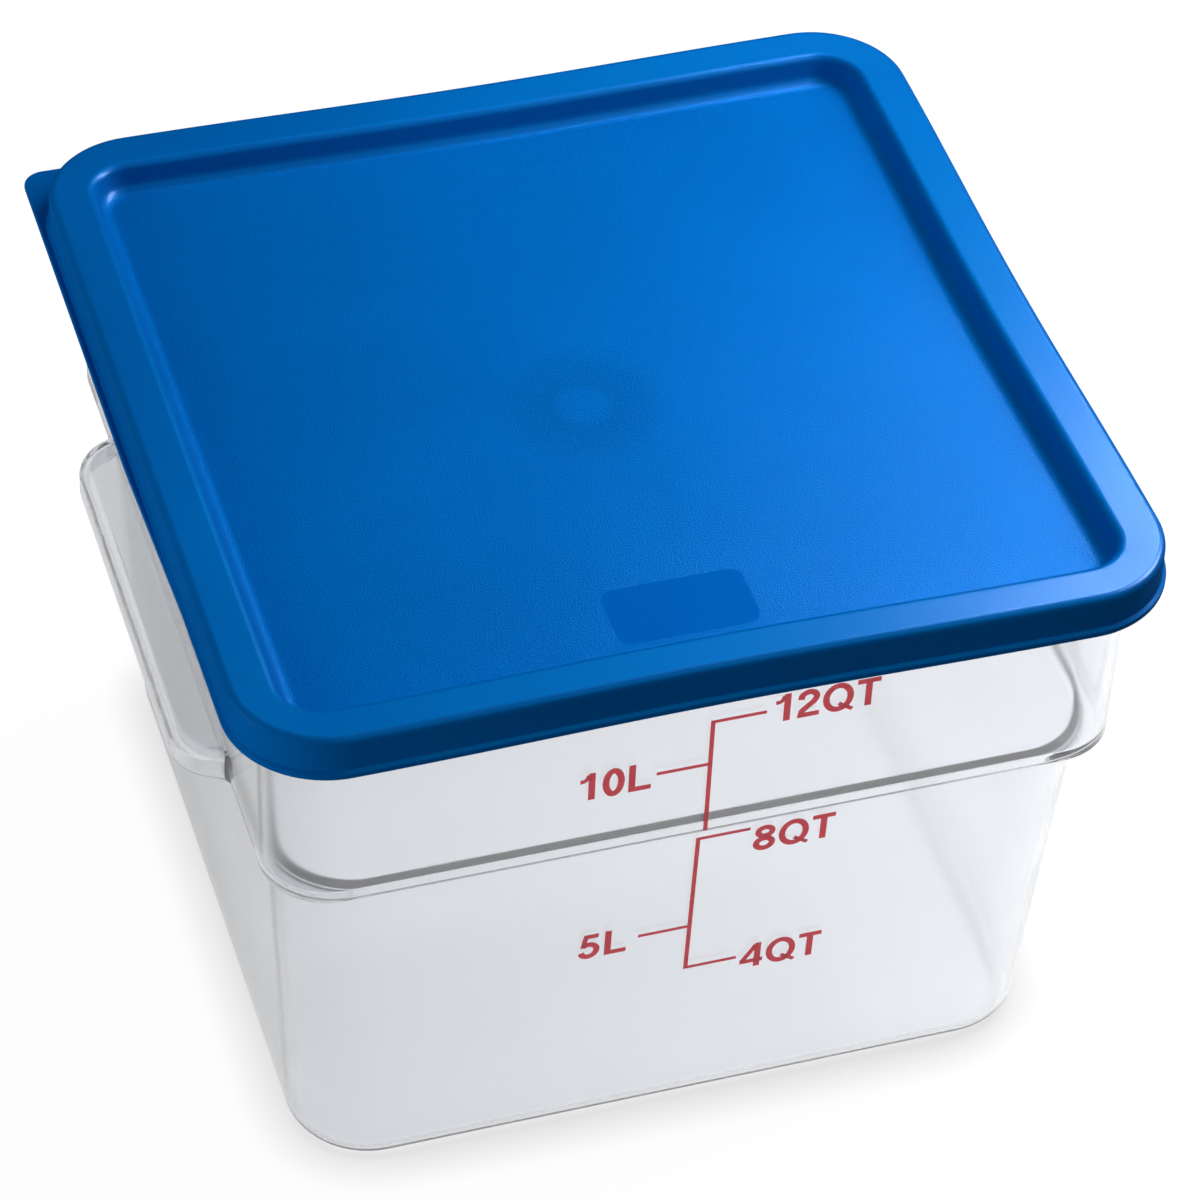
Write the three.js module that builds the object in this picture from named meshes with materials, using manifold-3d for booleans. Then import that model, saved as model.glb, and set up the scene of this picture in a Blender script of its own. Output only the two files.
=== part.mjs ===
// Clear square food container with a press-on lid and a printed volume scale.
// Millimetres, +Z up, front towards -Y, origin in the middle of the base on the surface that it stands on.

import * as THREE from 'three';
import { mergeVertices } from 'three/addons/utils/BufferGeometryUtils.js';
import Module from 'manifold-3d';

// Container body
const wall = 2.8;
const floorThickness = 3;
const baseHalf = 122.5;
const baseCorner = 26.7;
const baseEdgeRadius = 7.7;
const lowerTopHalf = 130.1;
const stepHeight = 135;
const stepWidth = 4.8;
const stepFillet = 2.5;
const stepEdgeRadius = 2;
const upperWallHeight = 74.8;
const upperCorner = 26.7;
const upperFlare = 0.4;
const rimFlangeWidth = 5.2;
const rimFlangeThickness = 3.8;
const rimEdgeRadius = 1.2;
const flangeFillet = 1;

// Grips on the left and right sides
const gripReach = 14.9;
const gripHalfLength = 77.3;
const gripHeight = 11.4;
const gripCorner = 17;
const gripTopRadius = 4;
const gripLip = 2.5;

// Lid
const lidWall = 2.2;
const lidSkirtHeight = 14.7;
const lidSkirtDraft = 0.85;
const lidTopRadius = 3.75;
const lidSideBow = 1.6;
const lidRimFall = 0.8;
const lidRimInnerRadius = 1.5;
const recessDepth = 10;
const recessWallAngle = 65;
const recessFillet = 6.8;
const beadHeight = 3;
const beadGroove = 0.55;
const beadEdgeRadius = 0.8;
const snapBead = 1.2;

// Pull tab on the back-left corner of the lid
const tabReach = 2.8;
const tabThickness = 2;
const tabCorner = 8;
const tabLength = 86;
const tabRamp = 12;

// Label pad and gate mark on the lid's panel
const padWidth = 43;
const padLength = 25;
const padOffset = -3.5;
const padFrontInset = 1.5;
const padCorner = 5;
const padDepth = 0.4;
const gateOffset = new THREE.Vector2(-5.2, -10.9);
const gateRadius = 9.5;
const gateHeight = 0.5;

// Printed scale on the front: heights of its ticks from the step, quarts on the right and litres on the left
const inkWidth = 1.4;
const inkThickness = 0.25;
const tickLength = 16.5;
const scaleOffset = -2.2;
const twelveQuarts = 47.4;
const tenLitres = 29.3;
const eightQuarts = -7.6;
const fiveLitres = -48.8;
const fourQuarts = -69.3;

// Clearances and smoothness
const seatGap = 0.3;
const skinGap = 0.3;
const rimPlay = 0.5;
const plugPlay = 0.7;
const flatEndCorner = 3;
const cornerSteps = 7;
const lidSideSteps = 6;
const arcSteps = 3;
const gateSides = 40;

// Places worked out from the sizes above
const upperHalf = lowerTopHalf + stepWidth;
const rimTop = stepHeight + upperWallHeight;
const rimInnerHalf = upperHalf + upperFlare - wall;
const rimOuterHalf = upperHalf + upperFlare + rimFlangeWidth;
const lidTop = rimTop + seatGap + lidWall;
const lidHalf = rimOuterHalf + rimPlay + lidSideBow + snapBead + lidWall;
const lidBottom = lidTop - lidSkirtHeight;
const panelTop = lidTop - recessDepth;
const recessAngle = THREE.MathUtils.degToRad(recessWallAngle);
const recessSlope = Math.tan(recessAngle);
const recessRimZ = lidTop - lidRimFall;
const plugShift = lidWall / Math.sin(recessAngle);
const recessRimHalf = rimInnerHalf - plugPlay - plugShift + (recessRimZ - rimTop) / recessSlope;
const recessFootHalf = recessRimHalf - (recessRimZ - panelTop) / recessSlope;
const lowerLean = (lowerTopHalf - baseHalf) / stepHeight;
const upperLean = upperFlare / upperWallHeight;
const baseCornerCentre = baseHalf - baseCorner;
const upperCornerCentre = upperHalf - upperCorner;

const wasm = await Module();
wasm.setup();

// A closed geometry as a solid that can be joined and cut.
function toSolid(geometry) {
  const bare = geometry.clone();
  bare.deleteAttribute('normal');
  bare.deleteAttribute('uv');
  const merged = mergeVertices(bare, 1e-4);
  return new wasm.Manifold(new wasm.Mesh({
    numProp: 3,
    vertProperties: new Float32Array(merged.attributes.position.array),
    triVerts: new Uint32Array(merged.index.array),
  }));
}

function toGeometry(solid) {
  const mesh = solid.getMesh();
  const geometry = new THREE.BufferGeometry();
  geometry.setAttribute('position', new THREE.BufferAttribute(mesh.vertProperties, 3));
  geometry.setIndex(new THREE.BufferAttribute(mesh.triVerts, 1));
  geometry.computeVertexNormals();
  return geometry;
}

// Section points [half width, height] from corners [half width, height, radius], each corner
// turned into an arc of its radius.
function roundedProfile(corners) {
  const points = [];
  corners.forEach(([half, z, radius = 0], i) => {
    const corner = new THREE.Vector2(half, z);
    if (!radius) {
      points.push(corner);
      return;
    }
    const before = new THREE.Vector2(...corners[i - 1]).sub(corner).normalize();
    const after = new THREE.Vector2(...corners[i + 1]).sub(corner).normalize();
    const halfAngle = Math.acos(before.dot(after)) / 2;
    const middle = before.clone().add(after).normalize();
    const centre = corner.clone().addScaledVector(middle, radius / Math.sin(halfAngle));
    const start = corner.clone().addScaledVector(before, radius / Math.tan(halfAngle)).sub(centre);
    const sweep = Math.sign(after.cross(before)) * (Math.PI - 2 * halfAngle);
    for (let k = 0; k <= arcSteps; k += 1) {
      const spoke = start.clone().rotateAround(new THREE.Vector2(), sweep * k / arcSteps);
      points.push(spoke.add(centre));
    }
  });
  return points;
}

// Outline of a rounded rectangle, anticlockwise. Each side can bow in towards its middle.
function outline(halfX, halfY, corner, bow, sideSteps) {
  const signs = [[1, 1], [-1, 1], [-1, -1], [1, -1]];
  const points = [];
  signs.forEach(([sx, sy], quarter) => {
    const centre = new THREE.Vector2(sx * (halfX - corner), sy * (halfY - corner));
    for (let k = 0; k <= cornerSteps; k += 1) {
      const angle = (quarter + k / cornerSteps) * Math.PI / 2;
      points.push(new THREE.Vector2(Math.cos(angle), Math.sin(angle)).multiplyScalar(corner).add(centre));
    }
    const from = points.at(-1);
    const [nextX, nextY] = signs[(quarter + 1) % 4];
    const turn = (quarter + 1) * Math.PI / 2;
    const reach = new THREE.Vector2(Math.cos(turn), Math.sin(turn)).multiplyScalar(corner);
    const to = new THREE.Vector2(nextX * (halfX - corner), nextY * (halfY - corner)).add(reach);
    const inward = new THREE.Vector2(-Math.cos(turn), -Math.sin(turn));
    for (let k = 1; k < sideSteps; k += 1) {
      const along = k / sideSteps;
      const depth = bow * Math.sin(along * Math.PI) ** 2;
      points.push(from.clone().lerp(to, along).addScaledVector(inward, depth));
    }
  });
  return points;
}

// Solid skinned over rounded-rectangle rings, from the ring underneath to the last, with flat ends.
function loft(rings, sideSteps = 1) {
  const outlines = rings.map((ring) => outline(ring.halfX, ring.halfY, ring.corner, ring.bow ?? 0, sideSteps));
  const positions = outlines.flatMap((points, r) => points.flatMap((p) => [p.x, p.y, rings[r].z]));
  const indices = [];
  const count = outlines[0].length;
  for (let r = 0; r < rings.length - 1; r += 1) {
    for (let k = 0; k < count; k += 1) {
      const a = r * count + k;
      const b = r * count + (k + 1) % count;
      indices.push(a, b, b + count, a, b + count, a + count);
    }
  }
  const last = (rings.length - 1) * count;
  THREE.ShapeUtils.triangulateShape(outlines[0], []).forEach(([a, b, c]) => indices.push(a, c, b));
  THREE.ShapeUtils.triangulateShape(outlines.at(-1), []).forEach(([a, b, c]) => {
    indices.push(last + a, last + b, last + c);
  });
  const geometry = new THREE.BufferGeometry();
  geometry.setAttribute('position', new THREE.Float32BufferAttribute(positions, 3));
  geometry.setIndex(indices);
  return geometry;
}

// Square rings of a section whose corner arcs all turn about one centre line.
function squareRings(profile, cornerCentreAt, bow = 0) {
  return profile.map((p) => {
    return { halfX: p.x, halfY: p.x, corner: p.x - cornerCentreAt(p.y), z: p.y, bow };
  });
}

function bodyCornerCentre(z) {
  const share = THREE.MathUtils.clamp(z / stepHeight, 0, 1);
  return THREE.MathUtils.lerp(baseCornerCentre, upperCornerCentre, share);
}

// Container shell: up the outside, over the rim and down the inside to the floor.
function containerShell() {
  const ledgeTop = stepHeight + wall;
  const flatHalf = baseCornerCentre + flatEndCorner;
  const flangeUnder = rimTop - rimFlangeThickness;
  const innerFoot = baseHalf + lowerLean * floorThickness - wall;
  const profile = roundedProfile([
    [flatHalf, 0],
    [baseHalf, 0, baseEdgeRadius],
    [lowerTopHalf, stepHeight, stepFillet],
    [upperHalf, stepHeight, stepEdgeRadius],
    [upperHalf + upperFlare, flangeUnder, flangeFillet],
    [rimOuterHalf, flangeUnder, rimEdgeRadius],
    [rimOuterHalf, rimTop, rimEdgeRadius],
    [rimInnerHalf, rimTop, rimEdgeRadius],
    [upperHalf - wall, ledgeTop],
    [lowerTopHalf + lowerLean * wall - wall, ledgeTop, stepFillet + wall],
    [innerFoot, floorThickness, Math.max(baseEdgeRadius - wall, 0)],
    [flatHalf, floorThickness],
  ]);
  return toSolid(loft(squareRings(profile, bodyCornerCentre)));
}

// Both grips: a rounded plate with a turned-down lip all round, open underneath, cut free of the inside.
function grips() {
  const top = stepHeight + gripHeight;
  const reach = upperHalf + gripReach;
  const ring = (inset, z) => ({
    halfX: reach - inset,
    halfY: gripHalfLength - inset,
    corner: gripCorner - inset,
    z,
  });
  const roundedTop = Array.from({ length: arcSteps + 1 }, (_, k) => {
    const angle = k / arcSteps * Math.PI / 2;
    const inset = gripTopRadius * (1 - Math.cos(angle));
    return ring(inset, top - gripTopRadius * (1 - Math.sin(angle)));
  });
  const plate = toSolid(loft([ring(0, stepHeight), ...roundedTop]));
  const pocket = toSolid(loft([ring(gripLip, stepHeight - wall), ring(gripLip, top - wall)]));
  const insideWidth = 2 * (upperHalf - wall / 2);
  const inside = new THREE.BoxGeometry(insideWidth, 2 * lidHalf, 2 * lidTop);
  return plate.subtract(pocket).subtract(toSolid(inside));
}

// Lid shell: out along the underside, round the skirt's bead, up the skirt, over the rim and down the recess.
function lidShell() {
  const underZ = lidTop - lidWall;
  const panelUnder = panelTop - lidWall;
  const plugAt = (z) => recessRimHalf + plugShift - (recessRimZ - z) / recessSlope;
  const flatHalf = upperCornerCentre + flatEndCorner;
  const skirtTop = lidHalf - lidSkirtDraft;
  const grooveZ = lidBottom + beadHeight;
  const inside = lidHalf - lidWall;
  const profile = roundedProfile([
    [flatHalf, panelUnder],
    [plugAt(panelUnder), panelUnder, recessFillet + lidWall],
    [plugAt(underZ), underZ],
    [skirtTop - lidWall, underZ, Math.max(lidTopRadius - lidWall, 0)],
    [inside, grooveZ + snapBead],
    [inside - snapBead, grooveZ],
    [inside - snapBead, lidBottom, beadEdgeRadius],
    [lidHalf, lidBottom, beadEdgeRadius],
    [lidHalf, grooveZ],
    [lidHalf - beadGroove, grooveZ + beadGroove],
    [lidHalf, grooveZ + 2 * beadGroove],
    [skirtTop, lidTop, lidTopRadius],
    [recessRimHalf, recessRimZ, lidRimInnerRadius],
    [recessFootHalf, panelTop, recessFillet],
    [flatHalf, panelTop],
  ]);
  return toSolid(loft(squareRings(profile, () => upperCornerCentre, lidSideBow), lidSideSteps));
}

// Pull tab: a thin flap along both sides of one corner, its ends running out into the skirt.
function pullTab() {
  const reach = lidHalf + tabReach;
  const root = lidHalf - lidWall / 2;
  const end = reach - tabLength;
  const flap = new THREE.Shape();
  flap.moveTo(-root + lidSideBow, end - tabRamp);
  flap.lineTo(-reach, end);
  flap.lineTo(-reach, reach - tabCorner);
  flap.absarc(-reach + tabCorner, reach - tabCorner, tabCorner, Math.PI, Math.PI / 2, true);
  flap.lineTo(-end, reach);
  flap.lineTo(-end + tabRamp, root - lidSideBow);
  const sheet = new THREE.ExtrudeGeometry(flap, {
    depth: tabThickness,
    bevelEnabled: false,
    curveSegments: cornerSteps,
  });
  sheet.translate(0, 0, lidBottom);
  const core = [lidBottom - tabThickness, lidBottom + 2 * tabThickness].map((z) => ({
    halfX: root,
    halfY: root,
    corner: root - upperCornerCentre,
    z,
    bow: lidSideBow,
  }));
  return toSolid(sheet).subtract(toSolid(loft(core, lidSideSteps)));
}

// Shallow label pad sunk into the lid's panel.
function labelPad() {
  const rings = [panelTop - padDepth, panelTop + padDepth].map((z) => ({
    halfX: padWidth / 2,
    halfY: padLength / 2,
    corner: padCorner,
    z,
  }));
  const panelFront = recessFootHalf - recessFillet * Math.tan(recessAngle / 2) - lidSideBow;
  return toSolid(loft(rings).translate(padOffset, padFrontInset + padLength / 2 - panelFront, 0));
}

// Low dome that the moulding gate leaves on the panel.
function gateMark() {
  const dome = new THREE.LatheGeometry([
    new THREE.Vector2(0, -lidWall / 2),
    new THREE.Vector2(gateRadius, -lidWall / 2),
    new THREE.Vector2(gateRadius, 0),
    new THREE.Vector2(gateRadius * 0.7, gateHeight * 0.7),
    new THREE.Vector2(gateRadius * 0.35, gateHeight),
    new THREE.Vector2(0, gateHeight),
  ], gateSides);
  dome.rotateX(Math.PI / 2);
  return toSolid(dome.translate(gateOffset.x, gateOffset.y, panelTop));
}

// Scale bracket in the plane of the wall: an upright line from its foot to its highest mark, with a tick at
// each mark, to the right for quarts and to the left for litres.
function scaleBracket(quarts, litres, foot) {
  const head = Math.max(...quarts) + inkWidth / 2;
  const upright = new THREE.BoxGeometry(inkWidth, inkThickness, head - foot);
  const shift = (tickLength - inkWidth) / 2;
  const ticks = [
    ...quarts.map((z) => [scaleOffset + shift, z]),
    ...litres.map((z) => [scaleOffset - shift, z]),
  ];
  return ticks.reduce((solid, [x, z]) => {
    const tick = new THREE.BoxGeometry(tickLength, inkThickness, inkWidth);
    return solid.add(toSolid(tick.translate(x, 0, z)));
  }, toSolid(upright.translate(scaleOffset, 0, (head + foot) / 2)));
}

function mesh(name, solid, material) {
  const piece = new THREE.Mesh(toGeometry(solid), material);
  piece.name = name;
  return piece;
}

// Carries a print on the front wall, leaning with the wall, which has the given half width at the step.
function onFrontWall(piece, halfAtStep, lean) {
  const holder = new THREE.Group();
  holder.position.set(0, -(halfAtStep + skinGap + inkThickness / 2), stepHeight);
  holder.rotation.x = Math.atan(lean);
  holder.add(piece);
  return holder;
}

const clearPlastic = new THREE.MeshStandardMaterial({
  color: 0xdfe3e8,
  roughness: 0.08,
  metalness: 0,
  transparent: true,
  opacity: 0.35,
});
const bluePlastic = new THREE.MeshStandardMaterial({ color: 0x0068be, roughness: 0.45, metalness: 0 });
const redInk = new THREE.MeshStandardMaterial({ color: 0xb04650, roughness: 0.5, metalness: 0 });

const upperPrint = scaleBracket([twelveQuarts], [tenLitres], stepEdgeRadius);
const lowerPrint = scaleBracket([eightQuarts, fourQuarts], [fiveLitres], fourQuarts - inkWidth / 2);

const container = new THREE.Group();
container.add(mesh('container_body', containerShell().add(grips()), clearPlastic));
container.add(mesh('lid', lidShell().add(pullTab()).subtract(labelPad()).add(gateMark()), bluePlastic));
container.add(onFrontWall(mesh('scale_upper_bracket', upperPrint, redInk), upperHalf, upperLean));
container.add(onFrontWall(mesh('scale_lower_bracket', lowerPrint, redInk), lowerTopHalf, lowerLean));

export default container;
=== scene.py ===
import math

import bmesh
import bpy
import numpy as np
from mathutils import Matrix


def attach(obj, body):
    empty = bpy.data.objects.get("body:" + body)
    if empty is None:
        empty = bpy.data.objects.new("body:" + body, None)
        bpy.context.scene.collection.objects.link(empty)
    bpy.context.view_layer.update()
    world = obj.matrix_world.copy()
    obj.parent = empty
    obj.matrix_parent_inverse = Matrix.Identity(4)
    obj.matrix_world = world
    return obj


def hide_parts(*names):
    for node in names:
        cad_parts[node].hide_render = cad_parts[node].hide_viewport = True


# Clear square food container with a blue press-on lid. Shapes are worked out in millimetres,
# in the row frame: +Z up, printed front towards -Y, origin in the middle of the base.

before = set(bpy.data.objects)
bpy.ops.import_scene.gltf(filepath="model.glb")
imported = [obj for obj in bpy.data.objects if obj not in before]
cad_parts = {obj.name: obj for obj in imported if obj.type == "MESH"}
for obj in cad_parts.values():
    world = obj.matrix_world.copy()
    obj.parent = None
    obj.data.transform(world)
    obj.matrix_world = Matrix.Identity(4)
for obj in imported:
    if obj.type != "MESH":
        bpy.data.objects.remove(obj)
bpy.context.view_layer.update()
mm = 0.001
mergeGap = 0.002  # points closer than this fall together


# Section points from corners (half width, height, radius). Each rounded corner becomes an arc
# about the point that is one radius from both lines, with a guard point just outside each end.
def roundedPath(corners, arcSteps=8, guard=0.5):
    points = []
    spots = [np.array(c[:2], float) for c in corners]
    for i, corner in enumerate(corners):
        radius = corner[2] if len(corner) > 2 else 0
        if not radius:
            points.append(spots[i][None])
            continue
        before = spots[i - 1] - spots[i]
        after = spots[i + 1] - spots[i]
        beforeLength, afterLength = np.linalg.norm(before), np.linalg.norm(after)
        before, after = before / beforeLength, after / afterLength
        halfAngle = math.acos(np.clip(before @ after, -1, 1)) / 2
        reach = radius / math.tan(halfAngle)
        middle = (before + after) / np.linalg.norm(before + after)
        centre = spots[i] + middle * radius / math.sin(halfAngle)
        start = spots[i] + before * reach - centre
        turn = math.copysign(math.pi - 2 * halfAngle, after[0] * before[1] - after[1] * before[0])
        angle = np.linspace(0, turn, arcSteps + 1)
        spokeX = start[0] * np.cos(angle) - start[1] * np.sin(angle)
        spokeY = start[0] * np.sin(angle) + start[1] * np.cos(angle)
        arc = np.stack([spokeX, spokeY], 1) + centre
        lead = spots[i] + before * (reach + guard)
        tail = spots[i] + after * (reach + guard)
        points.append(np.concatenate([lead[None], arc, tail[None]]))
    return np.concatenate(points)


# Columns round a square: corner marks a, outward directions n and the bow's weight w, so that a
# point is centre * a + radius * n - bow * w * n. The left side stays straight.
def squareColumns(cornerSteps, sideSteps):
    marks, normals, weights = [], [], []
    for quarter in range(4):
        here = np.array([(1, 1), (-1, 1), (-1, -1), (1, -1)][quarter], float)
        there = np.array([(-1, 1), (-1, -1), (1, -1), (1, 1)][quarter], float)
        angle = (quarter + np.linspace(0, 1, cornerSteps + 1)) * math.pi / 2
        marks.append(np.repeat(here[None], cornerSteps + 1, 0))
        normals.append(np.stack([np.cos(angle), np.sin(angle)], 1))
        weights.append(np.zeros(cornerSteps + 1))
        along = np.concatenate([[0.006], np.linspace(0, 1, sideSteps + 1)[1:-1], [0.994]])
        marks.append(here + (there - here) * along[:, None])
        normals.append(np.repeat(normals[-1][-1:], len(along), 0))
        weights.append(np.sin(math.pi * along) ** 2 * (quarter != 1))
    return np.concatenate(marks), np.concatenate(normals), np.concatenate(weights)


squareRule = {
    "leastCorner": 0.035,
    "bowStart": 85.0,
    "bowRun": 35.0,
}


# Rounded squares stacked along a section: half width and height by row, corner arcs about a
# centre line, sides drawn in by the bow, which grows from none at bowStart.
def squareSurface(section, centre, columns, bow=0.0):
    s = squareRule
    marks, normals, weights = columns
    half, height = section[:, 0], section[:, 1]
    centre = np.minimum(np.broadcast_to(centre, half.shape), half * (1 - s["leastCorner"]))
    radius = half - centre
    flat = centre[:, None, None] * marks + radius[:, None, None] * normals
    share = np.clip((half - s["bowStart"]) / s["bowRun"], 0, 1)
    drawn = np.broadcast_to(bow, half.shape) * share
    flat = flat - drawn[:, None, None] * (weights[:, None] * normals)
    lift = np.broadcast_to(height[:, None, None], flat.shape[:2] + (1,))
    return np.concatenate([flat, lift], 2)


# Faces of a grid of rows and columns, the columns closed into a ring, wound so that a section
# walked from underneath to the top points outwards.
def ringFaces(rows, columns, closedRows=False):
    r = np.arange(rows if closedRows else rows - 1)[:, None]
    c = np.arange(columns)[None]
    here = r * columns
    above = (r + 1) % rows * columns
    nextC = (c + 1) % columns
    quads = np.stack([here + c, here + nextC, above + nextC, above + c], 2)
    return quads.reshape(-1, 4)


# Mesh object from points in millimetres and four-sided faces; points that fall together are merged.
def makeObject(name, points, quads, smoothAngle=35):
    mesh = bpy.data.meshes.new(name)
    mesh.vertices.add(len(points))
    mesh.vertices.foreach_set("co", (points * mm).astype(np.float32).ravel())
    mesh.loops.add(quads.size)
    mesh.loops.foreach_set("vertex_index", quads.astype(np.int32).ravel())
    mesh.polygons.add(len(quads))
    mesh.polygons.foreach_set("loop_start", np.arange(0, quads.size, 4, dtype=np.int32))
    mesh.update(calc_edges=True)
    edit = bmesh.new()
    edit.from_mesh(mesh)
    bmesh.ops.remove_doubles(edit, verts=edit.verts, dist=mergeGap * mm)
    bmesh.ops.dissolve_degenerate(edit, dist=1e-7, edges=edit.edges)
    bmesh.ops.recalc_face_normals(edit, faces=edit.faces)
    edit.to_mesh(mesh)
    edit.free()
    obj = bpy.data.objects.new(name, mesh)
    bpy.context.scene.collection.objects.link(obj)
    softenEdges(obj, smoothAngle)
    return obj


# Smooth shading, with edges over the angle kept sharp.
def softenEdges(obj, angle):
    obj.data.shade_smooth()
    obj.data.set_sharp_from_angle(angle=math.radians(angle))


# Joins or cuts one closed object with another and keeps the result as plain mesh.
def combine(base, other, operation, smoothAngle=35):
    step = base.modifiers.new("combine", "BOOLEAN")
    step.operation = operation
    step.solver = "EXACT"
    step.object = other
    graph = bpy.context.evaluated_depsgraph_get()
    result = bpy.data.meshes.new_from_object(base.evaluated_get(graph))
    base.modifiers.clear()
    old = base.data
    base.data = result
    result.name = base.name
    bpy.data.meshes.remove(old)
    spare = other.data
    bpy.data.objects.remove(other)
    bpy.data.meshes.remove(spare)
    softenEdges(base, smoothAngle)


# Large flat faces keep their own direction where they meet small rounded ones.
def flattenShading(obj):
    step = obj.modifiers.new("flat face shading", "WEIGHTED_NORMAL")
    step.mode = "FACE_AREA"
    step.weight = 60
    step.keep_sharp = True


# Container shell
bodyShape = {
    "wall": 2.8,
    "floor": 3.0,
    "baseHalf": 122.5,
    "baseCorner": 26.7,
    "baseEdge": 7.7,
    "lowerTopHalf": 130.1,
    "stepHeight": 135.0,
    "stepWidth": 4.8,
    "stepFillet": 2.5,
    "stepEdge": 0.9,
    "ledgeEdge": 1.3,
    "lowerCorner": 26.7,
    "upperWallHeight": 74.8,
    "upperCorner": 20.5,
    "upperFlare": 0.4,
    "flangeWidth": 5.2,
    "flangeThickness": 3.8,
    "flangeFillet": 1.0,
    "rimEdge": 1.2,
    "wallFillet": 0.8,
    "innerRing": 40,
    "outerRing": 80,
    "cornerSteps": 22,
    "sideSteps": 14,
}
upperHalf = bodyShape["lowerTopHalf"] + bodyShape["stepWidth"]
cornerCentre = upperHalf - bodyShape["upperCorner"]
rimTop = bodyShape["stepHeight"] + bodyShape["upperWallHeight"]
lowerLean = (bodyShape["lowerTopHalf"] - bodyShape["baseHalf"]) / bodyShape["stepHeight"]
upperLean = bodyShape["upperFlare"] / bodyShape["upperWallHeight"]


# The shell's section runs out under the base, up the outside, over the rim and down to the floor.
def containerShell():
    s = bodyShape
    ledgeTop = s["stepHeight"] + s["wall"]
    flangeUnder = rimTop - s["flangeThickness"]
    rimInner = upperHalf + s["upperFlare"] - s["wall"]
    rimOuter = upperHalf + s["upperFlare"] + s["flangeWidth"]
    innerFoot = s["baseHalf"] + lowerLean * s["floor"] - s["wall"]
    baseCentre = s["baseHalf"] - s["baseCorner"]
    section = roundedPath([
        (0, 0),
        (s["innerRing"], 0),
        (s["outerRing"], 0),
        (s["baseHalf"], 0, s["baseEdge"]),
        (s["lowerTopHalf"], s["stepHeight"], s["stepFillet"]),
        (upperHalf, s["stepHeight"], s["stepEdge"]),
        (upperHalf + s["upperFlare"], flangeUnder, s["flangeFillet"]),
        (rimOuter, flangeUnder, s["rimEdge"]),
        (rimOuter, rimTop, s["rimEdge"]),
        (rimInner, rimTop, s["rimEdge"]),
        (upperHalf - s["wall"], ledgeTop, s["wallFillet"]),
        (s["lowerTopHalf"] + lowerLean * s["wall"] - s["wall"], ledgeTop, s["ledgeEdge"]),
        (innerFoot, s["floor"], s["baseEdge"] - s["wall"]),
        (s["outerRing"], s["floor"]),
        (s["innerRing"], s["floor"]),
        (0, s["floor"]),
    ])
    rise = np.clip(section[:, 1] / s["stepHeight"], 0, 1)
    inside = np.arange(len(section)) > np.argmax(section[:, 1])
    past = section[:, 0] - s["lowerTopHalf"] + s["wall"] * inside
    overStep = np.clip(past / s["stepWidth"], 0, 1)
    lowerCentre = baseCentre + (s["lowerTopHalf"] - s["lowerCorner"] - baseCentre) * rise
    centre = lowerCentre + (cornerCentre - lowerCentre) * overStep
    columns = squareColumns(s["cornerSteps"], s["sideSteps"])
    points = squareSurface(section, centre, columns)
    return makeObject("container_shell", points.reshape(-1, 3), ringFaces(*points.shape[:2]))


# Grips
gripShape = {
    "reach": 14.9,
    "halfLength": 76.3,
    "blend": 6.0,
    "height": 11.4,
    "corner": 17.0,
    "topRadius": 4.0,
    "lip": 2.5,
    "roofRadius": 1.6,
    "foot": 0.12,
    "root": 1.5,
    "rootWall": 0.5,
    "blendRise": 0.96,
    "spine": 3.0,
    "arcSteps": 18,
    "blendSteps": 8,
    "sideSteps": 16,
}


# Plan of a grip inset by d: at each end an arc of radius corner - d, then a hollow arc of radius
# blend + d that runs out into the wall; a straight outer side between the ends and a closing line
# inside the wall. Rows are insets, columns run round the plan.
def gripPlan(inset, rootX):
    g = gripShape
    centreX = upperHalf + g["reach"] - g["corner"]
    centreY = g["halfLength"] - g["corner"]
    radius = (g["corner"] - inset)[:, None]
    hollow = (g["blend"] + inset)[:, None]
    offX = upperHalf + g["blendRise"] * g["blend"] - centreX
    offY = math.sqrt((g["corner"] + g["blend"]) ** 2 - offX ** 2)
    bend = math.atan2(offY, offX)
    front = bend * np.linspace(1, 0, g["arcSteps"] + 1)
    start = np.arccos(np.clip((centreX + offX - rootX[:, None]) / hollow, -1, 1))
    turn = math.pi + start + (bend - start) * np.linspace(0, 1, g["blendSteps"], endpoint=False)
    hollowX = centreX + offX + hollow * np.cos(turn)
    hollowY = centreY + offY + hollow * np.sin(turn)
    arcX = np.concatenate([rootX[:, None], hollowX, centreX + radius * np.cos(front)], 1)
    arcY = np.concatenate([hollowY[:, :1], hollowY, centreY + radius * np.sin(front)], 1)
    along = np.linspace(-1, 1, g["sideSteps"] + 1)[1:-1] * centreY
    sideX = np.broadcast_to(centreX + radius, (len(inset), len(along)))
    sideY = np.broadcast_to(along, sideX.shape)
    closeY = np.linspace(1, -1, g["sideSteps"] + 1)[1:-1] * arcY[:, :1]
    closeX = np.broadcast_to(rootX[:, None], closeY.shape)
    x = np.concatenate([arcX, sideX, arcX[:, ::-1], closeX], 1)
    y = np.concatenate([-arcY, sideY, arcY[:, ::-1], closeY], 1)
    return np.stack([x, y], 2)


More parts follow.
